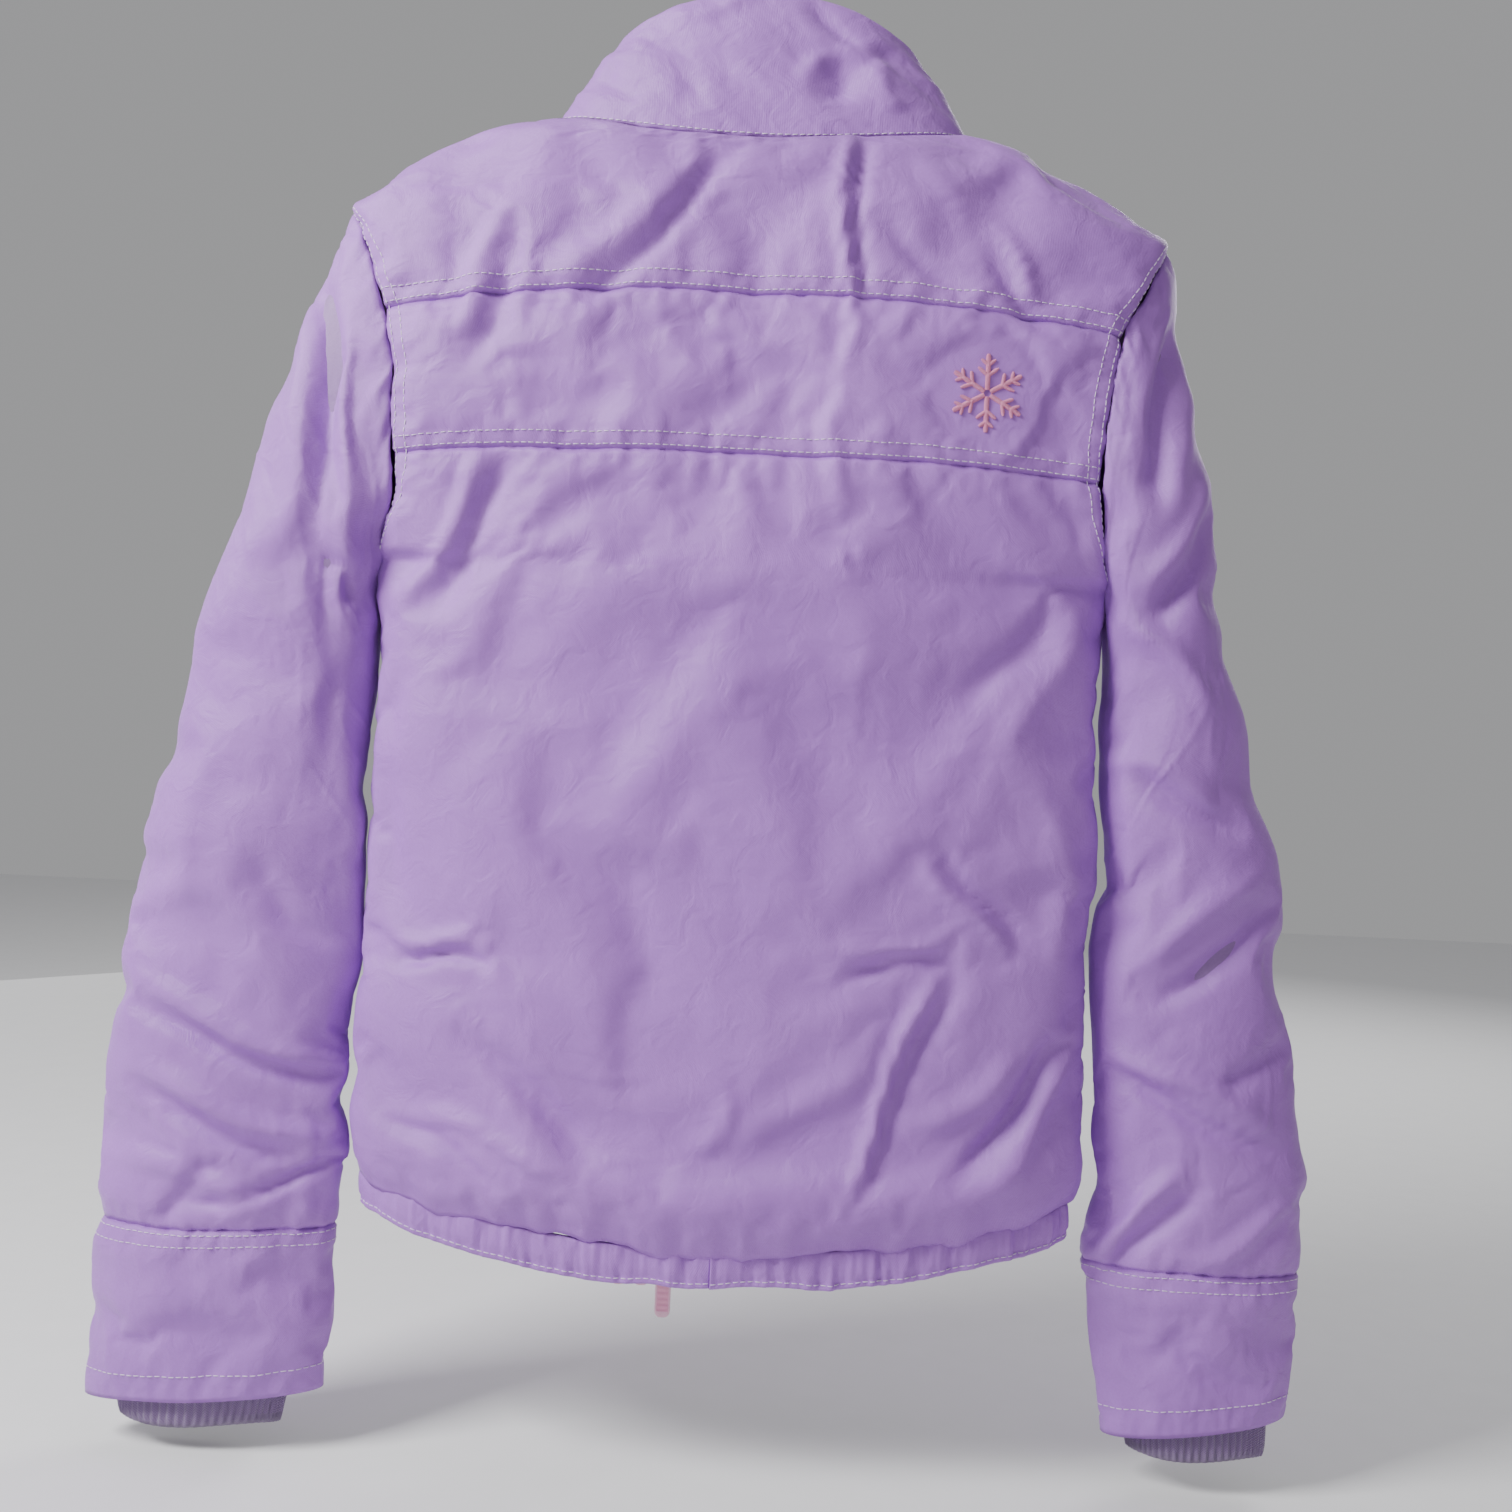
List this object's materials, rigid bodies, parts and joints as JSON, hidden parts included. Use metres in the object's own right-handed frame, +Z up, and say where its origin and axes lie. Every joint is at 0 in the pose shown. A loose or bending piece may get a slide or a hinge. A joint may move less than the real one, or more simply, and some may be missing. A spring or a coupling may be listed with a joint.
{
  "type": "ski jacket",
  "caption": "Padded ski jacket with stand collar, stitched back yoke, gathered hem, cuffs with knitted inner cuffs and separating front zips with soft rubber pulls.",
  "frame": {"origin": "under the top of the hanger loop at the back of the neck, where the loop rests on its hook", "axes": "+X to the wearer's left, -Y to the wearer's front, +Z up"},
  "size_m": [0.653, 0.1064, 0.771],
  "materials": {
    "shell_fabric": "fine woven nylon with a soft sheen, pinkish lilac in light and bluish purple in shade",
    "lining_fabric": "smooth woven taffeta",
    "wadding_fill": "matt fibre wadding",
    "rib_knit": "ribbed knit",
    "zip_tape": "woven tape with a nylon coil",
    "zip_metal": "painted die-cast metal",
    "pull_rubber": "soft moulded rubber, satin",
    "elastic_band": "braided elastic",
    "embroidery_thread": "satin-stitched thread"
  },
  "bodies": {
    "torso": {"back_embroidery": "embroidery_thread", "back_lining": "lining_fabric", "back_lower_panel": "shell_fabric", "back_middle_panel": "shell_fabric", "back_wadding": "wadding_fill", "back_yoke": "shell_fabric", "collar_facing": "lining_fabric", "collar_outer": "shell_fabric", "collar_wadding": "wadding_fill", "front_left_lining": "lining_fabric", "front_left_panel": "shell_fabric", "front_left_wadding": "wadding_fill", "front_left_yoke": "shell_fabric", "front_right_lining": "lining_fabric", "front_right_panel": "shell_fabric", "front_right_wadding": "wadding_fill", "front_right_yoke": "shell_fabric", "hanger_loop": "lining_fabric", "hem_channel_left": "shell_fabric", "hem_channel_right": "shell_fabric", "hem_elastic": "elastic_band", "inner_zip_box": "zip_metal", "inner_zip_half_left": "zip_tape", "inner_zip_half_right": "zip_tape", "inner_zip_pin": "zip_metal", "left_pocket_bag": "lining_fabric", "left_pocket_zip": "zip_tape", "middle_zip_box": "zip_metal", "middle_zip_half_left": "zip_tape", "middle_zip_half_right": "zip_tape", "middle_zip_pin": "zip_metal", "neck_label": "lining_fabric", "outer_zip_box": "zip_metal", "outer_zip_half_left": "zip_tape", "outer_zip_half_right": "zip_tape", "outer_zip_pin": "zip_metal", "right_pocket_bag": "lining_fabric", "right_pocket_zip": "zip_tape"},
    "left_sleeve_part": {"left_sleeve": "shell_fabric", "left_sleeve_wadding": "wadding_fill", "left_sleeve_lining": "lining_fabric", "left_cuff": "shell_fabric", "left_rib_cuff": "rib_knit"},
    "right_sleeve_part": {"right_sleeve": "shell_fabric", "right_sleeve_wadding": "wadding_fill", "right_sleeve_lining": "lining_fabric", "right_cuff": "shell_fabric", "right_rib_cuff": "rib_knit"},
    "outer_slider_part": {"outer_zip_slider": "zip_metal"},
    "outer_puller_part": {"outer_zip_puller": "pull_rubber"},
    "middle_slider_part": {"middle_zip_slider": "zip_metal"},
    "middle_puller_part": {"middle_zip_puller": "pull_rubber"},
    "inner_slider_part": {"inner_zip_slider": "zip_metal"},
    "inner_puller_part": {"inner_zip_puller": "pull_rubber"},
    "left_pocket_slider_part": {"left_pocket_slider": "zip_metal"},
    "left_pocket_puller_part": {"left_pocket_puller": "pull_rubber"},
    "right_pocket_slider_part": {"right_pocket_slider": "zip_metal"},
    "right_pocket_puller_part": {"right_pocket_puller": "pull_rubber"}
  },
  "joints": [
    {"name": "left_sleeve_swing", "type": "hinge", "parent": "torso", "child": "left_sleeve_part", "pos_m": [0.219, -0.018, -0.0553], "axis": [0, -1, 0], "range_deg": [0, 40]},
    {"name": "right_sleeve_swing", "type": "hinge", "parent": "torso", "child": "right_sleeve_part", "pos_m": [-0.219, -0.018, -0.0553], "axis": [0, 1, 0], "range_deg": [0, 40]},
    {"name": "outer_zip_slide", "type": "slide", "parent": "torso", "child": "outer_slider_part", "axis": [0, 0, 1], "range_m": [0, 0.555]},
    {"name": "outer_puller_swing", "type": "hinge", "parent": "outer_slider_part", "child": "outer_puller_part", "pos_m": [0.028, -0.0721, -0.5953], "axis": [-1, 0, 0], "range_deg": [0, 170]},
    {"name": "middle_zip_slide", "type": "slide", "parent": "torso", "child": "middle_slider_part", "axis": [0, 0, 1], "range_m": [0, 0.535]},
    {"name": "middle_puller_swing", "type": "hinge", "parent": "middle_slider_part", "child": "middle_puller_part", "pos_m": [0.041, -0.0721, -0.5773], "axis": [-1, 0, 0], "range_deg": [0, 170]},
    {"name": "inner_zip_slide", "type": "slide", "parent": "torso", "child": "inner_slider_part", "axis": [0, 0, 1], "range_m": [0, 0.535]},
    {"name": "inner_puller_swing", "type": "hinge", "parent": "inner_slider_part", "child": "inner_puller_part", "pos_m": [0.054, -0.0721, -0.5773], "axis": [-1, 0, 0], "range_deg": [0, 170]},
    {"name": "left_pocket_slide", "type": "slide", "parent": "torso", "child": "left_pocket_slider_part", "axis": [0, 0, 1], "range_m": [0, 0.13]},
    {"name": "left_pocket_puller_swing", "type": "hinge", "parent": "left_pocket_slider_part", "child": "left_pocket_puller_part", "pos_m": [0.118, -0.0712, -0.5393], "axis": [-1, 0, 0], "range_deg": [0, 170]},
    {"name": "right_pocket_slide", "type": "slide", "parent": "torso", "child": "right_pocket_slider_part", "axis": [0, 0, 1], "range_m": [0, 0.13]},
    {"name": "right_pocket_puller_swing", "type": "hinge", "parent": "right_pocket_slider_part", "child": "right_pocket_puller_part", "pos_m": [-0.118, -0.0712, -0.5393], "axis": [-1, 0, 0], "range_deg": [0, 170]}
  ]
}
